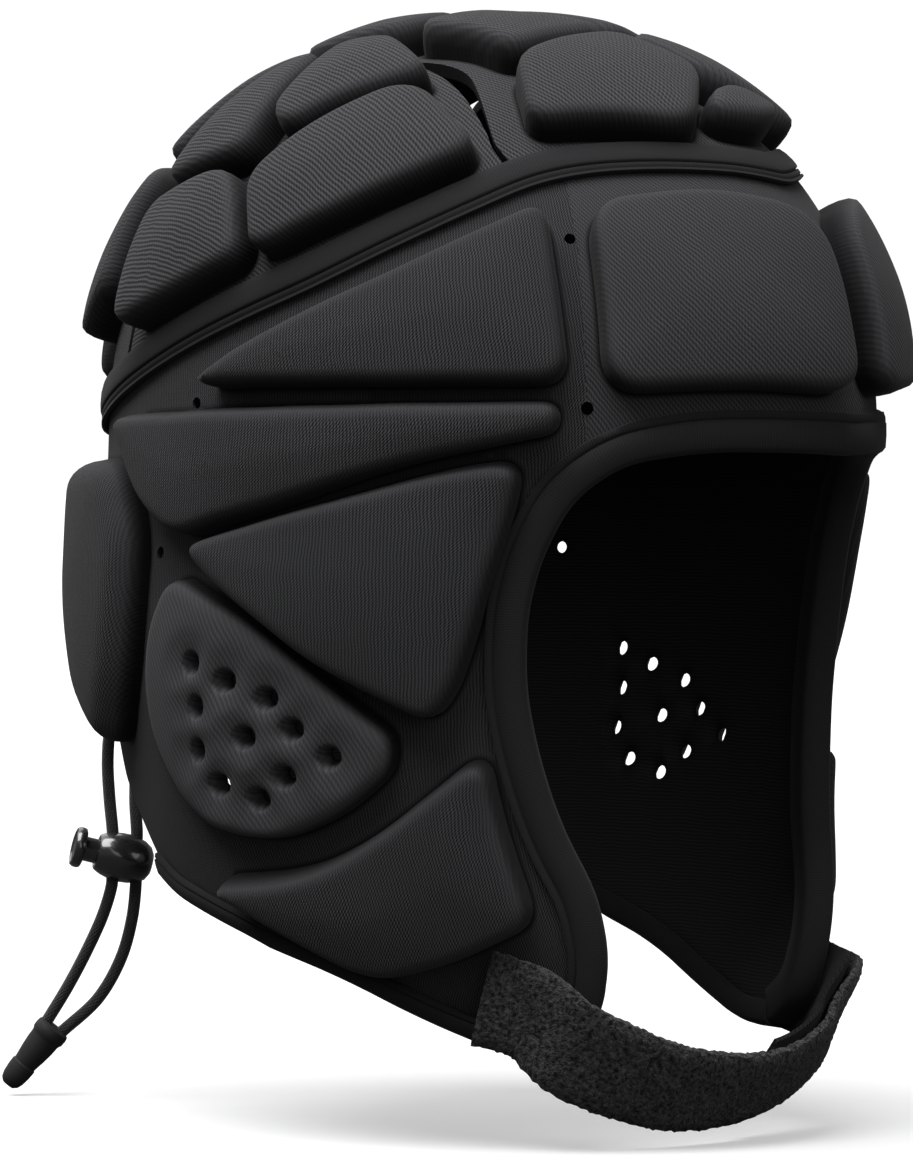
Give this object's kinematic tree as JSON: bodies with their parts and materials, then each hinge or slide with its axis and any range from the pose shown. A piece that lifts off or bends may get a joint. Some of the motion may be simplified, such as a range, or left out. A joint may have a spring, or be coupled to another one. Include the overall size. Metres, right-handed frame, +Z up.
{
  "type": "rugby scrum cap",
  "caption": "Soft padded head guard of moulded foam under knit cloth, with an open crown, vented ear pads, cheek flaps, a chin strap and a laced back.",
  "frame": {"origin": "top of the head hollow, where the crown of the wearer's head bears", "axes": "+Z up, -Y the way the face looks, +X to the wearer's left"},
  "size_m": [0.1736, 0.2456, 0.259],
  "materials": {
    "foam_cloth": "ribbed knit",
    "binding_tape": "smooth knit",
    "loop_pile": "fuzzy",
    "webbing": "woven",
    "round_cord": "braided",
    "lock_plastic": "gloss",
    "end_plastic": "matt"
  },
  "bodies": {
    "cap": {"padded_band": "foam_cloth", "crown_centre": "foam_cloth", "crown_side_right": "foam_cloth", "crown_side_left": "foam_cloth", "crown_binding": "binding_tape", "face_binding": "binding_tape", "hem_binding_right": "binding_tape", "hem_binding_left": "binding_tape", "chin_strap": "loop_pile", "chin_strap_tab": "webbing", "lace_bar_1": "round_cord", "lace_bar_2": "round_cord", "lace_bar_3": "round_cord", "cord_loop_right": "round_cord", "cord_loop_left": "round_cord", "cord_tail_right": "round_cord", "cord_tail_left": "round_cord", "cord_lock_body": "lock_plastic", "cord_end": "end_plastic"},
    "lock_button": {"cord_lock_button": "lock_plastic"}
  },
  "joints": [
    {"name": "lock_button_press", "type": "slide", "parent": "cap", "child": "lock_button", "axis": [0.7433, -0.6237, -0.2419], "range_m": [0, 0.003], "stiffness_N_per_m": 300, "springref_m": -0.0015}
  ]
}
